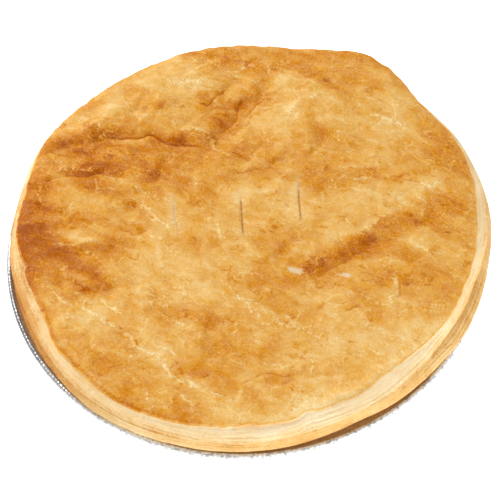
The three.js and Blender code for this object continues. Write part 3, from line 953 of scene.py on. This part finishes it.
# %% [markdown]
# ## Materials
# Pastry has no texture map of its own here: every tone is worked out from where a place is on the piece
# and from the values painted on it. The lid and the lower crust share one pattern: a soft mottling, thin
# plates of pastry that overlap, broken pale edges, fibres drawn out along the rolling and fine grains. Its
# crease lines and the foot beside each plate's edge are painted shade, and its pale edges are partly the
# thin pastry's own paleness and partly painted highlight. It is a node group, built once. A few short
# helpers keep the node trees readable.

# %% Helpers for the materials
def srgb(red, green, blue):
    """A colour given as it looks, from 0 to 255, in the linear values that Blender works in."""
    shares = [value / 255 for value in (red, green, blue)]
    return (*[v / 12.92 if v < 0.04 else ((v + 0.055) / 1.055) ** 2.4 for v in shares], 1)


def add(tree, kind, inputs=(), **settings):
    """A new node. An input given as a socket is linked, and any other is set."""
    made = tree.nodes.new("ShaderNode" + kind)
    for name, value in settings.items():
        setattr(made, name, value)
    for name, value in dict(inputs).items():
        if isinstance(value, bpy.types.NodeSocket):
            tree.links.new(value, made.inputs[name])
        else:
            made.inputs[name].default_value = value
    return made


def reckon(tree, operation, first, second=0.0):
    return add(tree, "Math", {0: first, 1: second}, operation=operation).outputs[0]


def times(tree, first, second):
    return reckon(tree, "MULTIPLY", first, second)


def shift(tree, operation, first, second):
    """The same sum for two places, axis by axis."""
    return add(tree, "VectorMath", {0: first, 1: second}, operation=operation).outputs[0]


def plus(tree, *shares):
    """A sum of values, each a socket or a pair of a socket and how much of it is taken."""
    total = 0.0
    for share in shares:
        value = times(tree, *share) if isinstance(share, tuple) else share
        total = reckon(tree, "ADD", total, value)
    return total


def centred(tree, value):
    return reckon(tree, "SUBTRACT", value, 0.5)


def ease(tree, value, low, high, to_low=0.0, to_high=1.0):
    """The value, brought smoothly from one range to another."""
    ends = {"Value": value, "From Min": low, "From Max": high, "To Min": to_low, "To Max": to_high}
    return add(tree, "MapRange", ends, interpolation_type="SMOOTHSTEP").outputs[0]


def blend(tree, share, under, over, way="MIX"):
    """Two colours mixed."""
    ends = {0: share, 6: under, 7: over}
    return add(tree, "Mix", ends, data_type="RGBA", blend_type=way).outputs[2]


def noise(tree, place, size, detail=3.0, rough=0.5):
    """Noise with features of one size, in millimetres."""
    ends = {"Vector": place, "Scale": 1 / size, "Detail": detail, "Roughness": rough}
    return add(tree, "TexNoise", ends).outputs["Fac"]


def value_of(tree, name):
    return add(tree, "Attribute", attribute_name=name).outputs["Fac"]


def place_in_mm(tree):
    """Where each point is on the piece, in millimetres."""
    return shift(tree, "MULTIPLY", add(tree, "TexCoord").outputs["Object"], (1 / MM, 1 / MM, 1 / MM))


def rolled_place(tree, place):
    """The place, drawn out along the rolling."""
    turned = {"Vector": place, "Rotation": (0, 0, ROLLED), "Scale": (DRAWN_OUT, 1, 1)}
    return add(tree, "Mapping", turned, vector_type="TEXTURE").outputs[0]


def ramp(tree, value, stops):
    """A colour ramp from pairs of a place and a colour."""
    made = add(tree, "ValToRGB", {"Fac": value})
    line = made.color_ramp.elements
    while len(line) < len(stops):
        line.new(0.5)
    for stop, (place, colour) in zip(line, stops):
        stop.position, stop.color = place, colour
    return made.outputs["Color"]


def new_material(name):
    material = bpy.data.materials.new(name)
    material.use_nodes = True
    return material, material.node_tree, material.node_tree.nodes["Principled BSDF"]


def finish(tree, shader, values, height=None, strength=0.0, depth=0.0):
    """Gives the shader its values, each linked or set, and a bump of a depth in millimetres."""
    for name, value in values.items():
        if isinstance(value, bpy.types.NodeSocket):
            tree.links.new(value, shader.inputs[name])
        else:
            shader.inputs[name].default_value = value
    if height:
        bump = add(tree, "Bump", {"Height": height, "Strength": strength, "Distance": depth * MM})
        tree.links.new(bump.outputs["Normal"], shader.inputs["Normal"])


print("palest lid tone", [round(share, 2) for share in srgb(255, 229, 170)])

# %% The pattern that both pastries share
PATTERN = ("Mottle", "Streaks", "Plates", "Edges", "Foot shade", "Crease shade", "Breaks", "Grain", "Height")


def pastry_pattern():
    """A node group: mottling, thin plates that overlap, and the height of the baked surface."""
    tree = bpy.data.node_groups.new("pastry pattern", "ShaderNodeTree")
    tree.interface.new_socket(name="Place", in_out="INPUT", socket_type="NodeSocketVector")
    for name in PATTERN:
        tree.interface.new_socket(name=name, in_out="OUTPUT", socket_type="NodeSocketFloat")
    start = tree.nodes.new("NodeGroupInput")
    end = tree.nodes.new("NodeGroupOutput")
    place = start.outputs["Place"]

    def bent(spot, size, reach, detail):
        """The spot, pushed about by a noise."""
        ends = {"Vector": place, "Scale": 1 / size, "Detail": detail}
        push = shift(tree, "SUBTRACT", add(tree, "TexNoise", ends).outputs["Color"], (0.5, 0.5, 0.5))
        return shift(tree, "ADD", spot, shift(tree, "MULTIPLY", push, (reach, reach, reach)))

    swirled = bent(place, 10, 8, 3.0)
    rolled_out = rolled_place(tree, swirled)
    jagged = bent(rolled_out, 2.4, 2.0, 4.0)

    def strands(size, level, thin, cover):
        """Short broken lines: where a noise passes a level, kept only in some places."""
        away = reckon(tree, "SUBTRACT", noise(tree, rolled_out, size, 4), level)
        line = ease(tree, reckon(tree, "ABSOLUTE", away), 0.0, thin, 1.0, 0.0)
        return times(tree, line, ease(tree, noise(tree, place, 0.9 * size, 2), cover, cover + 0.08))

    def plates(size, line, foot, cover):
        """Overlapping plates: a tone for each, its pale edge, partly painted highlight, and painted shade
        in the hollow beside the edge.
        """
        where = {"Vector": jagged, "Scale": 1 / size}
        cell = add(tree, "TexVoronoi", where, feature="F1").outputs["Color"]
        level = add(tree, "SeparateColor", {"Color": cell}).outputs[0]
        gap = add(tree, "TexVoronoi", where, feature="DISTANCE_TO_EDGE").outputs["Distance"]
        kept = ease(tree, noise(tree, place, 1.1 * size, 2), cover, cover + 0.07)
        edge = times(tree, ease(tree, gap, 0.0, line / size, 1.0, 0.0), kept)
        low = ease(tree, level, 0.2, 0.5, 1.0, 0.0)
        return level, edge, times(tree, ease(tree, gap, 0.0, foot / size, 1.0, 0.0), low)

    broad, broad_edge, broad_foot = plates(10, 0.36, 2.4, 0.51)
    small, small_edge, small_foot = plates(4.4, 0.26, 1.0, 0.52)
    mottle = noise(tree, swirled, 13, 4, 0.55)
    fibres = noise(tree, shift(tree, "MULTIPLY", jagged, (0.4, 1, 1)), 1.1, 3, 0.6)
    streaks = noise(tree, rolled_out, 4.5, 5, 0.62)
    streaks = add(tree, "Mix", {"Factor": 0.4, "A": streaks, "B": fibres}).outputs["Result"]
    layered = plus(tree, (broad, 0.6), (small, 0.4))
    # pale edges: the thin pastry's own paleness and, in part, painted highlight
    edges = reckon(tree, "MAXIMUM", broad_edge, times(tree, small_edge, 0.7))
    edges = reckon(tree, "MAXIMUM", edges, strands(8, 0.5, 0.012, 0.5))
    # painted shade in the hollow beside each plate's edge
    foot_shade = reckon(tree, "MAXIMUM", broad_foot, times(tree, small_foot, 0.7))
    # thin crease lines, darkened as painted shade
    creases = strands(9, 0.45, 0.02, 0.52)
    breaks = ease(tree, noise(tree, place, 3.7, 2), 0.46, 0.56)
    grain = ease(tree, noise(tree, place, 1.0, 3, 0.7), 0.42, 0.6)
    height = plus(
        tree, (layered, 0.7), (edges, 0.2), (creases, -0.3), (grain, 0.15), (streaks, 0.8)
    )
    made = (mottle, streaks, layered, edges, foot_shade, creases, breaks, grain, height)
    for name, value in zip(PATTERN, made):
        tree.links.new(value, end.inputs[name])
    return tree


pattern = pastry_pattern()
print("the pattern has", len(pattern.nodes), "nodes")


def add_pattern(tree, place):
    made = tree.nodes.new("ShaderNodeGroup")
    made.node_tree = pattern
    tree.links.new(place, made.inputs["Place"])
    return made.outputs


def layer_lines(tree, place, stretch, thickness):
    """Fine lines along the rim. They follow the painted rise, and wander slowly as they go."""
    flat = add(tree, "SeparateXYZ", {"Vector": place})
    ends = {axis: times(tree, flat.outputs[axis], 0.045) for axis in ("X", "Y")}
    ends["Z"] = times(tree, value_of(tree, "rise"), stretch / thickness)
    return noise(tree, add(tree, "CombineXYZ", ends).outputs[0], 1.0, 3, 0.6)


# %% [markdown]
# ## The lid's finish
# Pastry browns unevenly, so the lid runs from cream through gold to a deep brown. A single tone is added
# up from the painted browning, with its painted shade and light, and the shared pattern, and a ramp turns
# it into a colour. Rubbed and torn skin is paler, and so are the crests of ridges, as painted highlight.
# Cracks are darker, with painted shade for their grooves and browner pastry, low streaks are browner as
# painted shade, and how rich the colour is varies a little along the rolling. The cut side was never at
# the surface, so it has a paler ramp of its own, with fine lines for its layers.

# %% Tones of the lid
LID_TONES = (  # from palest to brownest
    (0.0, srgb(255, 229, 170)),
    (0.18, srgb(247, 208, 137)),
    (0.36, srgb(239, 185, 98)),
    (0.52, srgb(228, 160, 64)),
    (0.68, srgb(213, 133, 37)),
    (0.84, srgb(192, 106, 19)),
    (1.0, srgb(168, 84, 6)),
)
CUT_TONES = (
    (0.0, srgb(255, 234, 196)),
    (0.4, srgb(249, 218, 166)),
    (0.7, srgb(241, 201, 136)),
    (1.0, srgb(221, 157, 80)),
)
BARE_PASTRY = srgb(238, 211, 172)
SLIT_SHADE = srgb(186, 122, 60)
print(len(LID_TONES), "tones for the top and", len(CUT_TONES), "for the cut side")

# %% The lid's pastry
def lid_pastry():
    material, tree, shader = new_material("lid_pastry")
    place = place_in_mm(tree)
    parts = add_pattern(tree, place)
    grain, streaks = centred(tree, parts["Grain"]), centred(tree, parts["Streaks"])
    mottle, plates = centred(tree, parts["Mottle"]), centred(tree, parts["Plates"])
    browning_and_shading, rise, cut = (value_of(tree, name) for name in ("browning_and_shading", "rise", "cut"))

    rub = ease(tree, plus(tree, value_of(tree, "torn_and_highlit"), (grain, 0.45), (streaks, 0.9)), 0.25, 0.6)
    split = plus(tree, value_of(tree, "crack_shade_and_browning"), (grain, 0.25), (streaks, 0.5))
    split = ease(tree, split, 0.42, 0.72)
    patchy = times(tree, browning_and_shading, plus(tree, 0.75, (parts["Plates"], 0.5)))
    speckled = times(tree, grain, ease(tree, browning_and_shading, -0.2, 0.6, 0.6, 1.0))
    # painted shade makes cracks, crease lines, the foot of each plate and low streaks browner, and painted
    # highlight makes ridge crests and part of the pale edges paler
    tone = plus(
        tree, 0.47, (patchy, 0.29), (mottle, 0.34), (plates, 0.28), (streaks, -0.5),
        (speckled, -0.15), (parts["Edges"], -0.18), (parts["Foot shade"], 0.09),
        (parts["Crease shade"], 0.2), (rub, -0.24), (split, 0.3),
    )
    rich = noise(tree, rolled_place(tree, place), 3.0, 4, 0.65)
    rich = {"Saturation": ease(tree, rich, 0.3, 0.7, 0.955, 1.035)}
    rich["Color"] = ramp(tree, tone, LID_TONES)
    top = add(tree, "HueSaturation", rich).outputs["Color"]
    top = blend(tree, value_of(tree, "opened"), top, BARE_PASTRY)
    # painted shade in the slits' gaps
    top = blend(tree, value_of(tree, "slit_shade"), top, SLIT_SHADE)

    lines = layer_lines(tree, place, 8, 0.55)
    low, seam = ease(tree, rise, 0.25, 0.6, 1.0, 0.0), ease(tree, rise, 0.0, 0.14, 1.0, 0.0)
    # the crease lines are painted shade, and the browning brings painted light to the front right
    side_tone = plus(
        tree, 0.38, (ease(tree, lines, 0.4, 0.7), 0.22), (mottle, 0.9), (streaks, 0.7),
        (parts["Crease shade"], 0.2), (parts["Edges"], -0.25), (grain, -0.15), (browning_and_shading, 0.4),
        (low, 0.25), (seam, 0.3),
    )
    colour = blend(tree, cut, top, ramp(tree, side_tone, CUT_TONES))
    rough = ease(tree, parts["Streaks"], 0.3, 0.7, 0.7, 0.5)
    values = {"Base Color": colour, "Roughness": rough, "Specular IOR Level": 0.12}
    height = plus(tree, parts["Height"], (lines, cut), (rub, 0.15))
    finish(tree, shader, values, height, 0.45, 0.8)
    return material


lid_finish = lid_pastry()
print(lid_finish.name, "has", len(lid_finish.node_tree.nodes), "nodes")

# %% [markdown]
# ## The lower crust's finish
# The crust's rim baked against the foil and under the lid, so it is an even tan with little
# shine. It uses the same pattern with weaker shares, and its layer lines are fainter than those
# of the risen lid.

# %% The lower crust's pastry
CRUST_TONES = (
    (0.0, srgb(243, 211, 153)),
    (0.18, srgb(233, 188, 118)),
    (0.36, srgb(216, 162, 86)),
    (0.52, srgb(204, 140, 58)),
    (0.68, srgb(190, 116, 36)),
    (1.0, srgb(160, 83, 16)),
)


def edge_pastry():
    material, tree, shader = new_material("edge_pastry")
    place = place_in_mm(tree)
    parts = add_pattern(tree, place)
    lines = layer_lines(tree, place, 8, 0.6)
    # the crease lines are painted shade, and the browning brings painted light to the front left
    tone = plus(
        tree, 0.2, (ease(tree, lines, 0.35, 0.7), 0.07), (centred(tree, parts["Mottle"]), 0.5),
        (centred(tree, parts["Streaks"]), 0.4), (parts["Edges"], -0.12), (parts["Crease shade"], 0.2),
        (centred(tree, parts["Grain"]), -0.08), (value_of(tree, "browning_and_shading"), 0.3),
    )
    colour = ramp(tree, tone, CRUST_TONES)
    values = {"Base Color": colour, "Roughness": 0.62, "Specular IOR Level": 0.3}
    finish(tree, shader, values, plus(tree, (parts["Height"], 0.7), (lines, 0.3)), 0.6, 0.7)
    return material


crust_finish = edge_pastry()
print(crust_finish.name, "has", len(crust_finish.node_tree.nodes), "nodes")

# %% [markdown]
# ## Foil and sweep
# Thin foil is bright, but its small creases point every way, so a fine ramp of greys, as painted shade and
# glints, and a low bump stand for them. Painted shade darkens the outer wall, most between its pleats, and
# the bead on the left, and both are made more metallic there. The flange under the crust carries a painted
# reflection of the pastry. The sweep is plain white.

# %% Foil and white sweep
BRIGHT_FOIL = ((0.36, srgb(182, 181, 179)), (0.52, srgb(247, 246, 244)))
SHADED_FOIL = srgb(118, 118, 120)
REFLECTED_PASTRY = srgb(236, 202, 152)
WHITE = (0.9, 0.9, 0.9, 1)


def foil():
    material, tree, shader = new_material("foil")
    place = place_in_mm(tree)
    crumple = noise(tree, place, 2.5, 3, 0.6)
    # the greys stand for the shade and glints of the small creases
    silver = ramp(tree, noise(tree, place, 1.3, 3), BRIGHT_FOIL)
    wall = value_of(tree, "wall")
    # painted shade on the outer wall and the bead's left side
    colour = blend(tree, wall, silver, SHADED_FOIL)
    values = {
        # a painted reflection of the pastry on the flange
        "Base Color": blend(tree, value_of(tree, "pastry_reflection"), colour, REFLECTED_PASTRY),
        "Roughness": ease(tree, crumple, 0.3, 0.7, 0.2, 0.4),
        "Metallic": ease(tree, wall, 0.0, 0.5, 0.15, 0.5),
    }
    finish(tree, shader, values, crumple, 0.6, 0.5)
    return material


def sweep_white():
    material, tree, shader = new_material("white_sweep")
    glow = {"Emission Color": (1, 1, 1, 1), "Emission Strength": 0.75}
    finish(tree, shader, {"Base Color": WHITE, "Roughness": 0.9, **glow})
    return material


for piece, material in (
    (lid, lid_finish), (crust, crust_finish), (tray, foil()), (floor, sweep_white()),
):
    piece.data.materials.append(material)
    print(piece.name, "is finished in", material.name)

# %% [markdown]
# ## Joining the pieces to the frame
# Nothing on a pie moves, so every piece rides on the frame's one body. Each stands for a node of the
# frame, which is hidden.

# %% Ride and replace
for piece, node, slot in (
    (tray, "foil_tray", "foil"),
    (crust, "base_crust", "edge_pastry"),
    (lid, "lid", "lid_pastry"),
):
    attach(piece, "root")
    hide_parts(node)
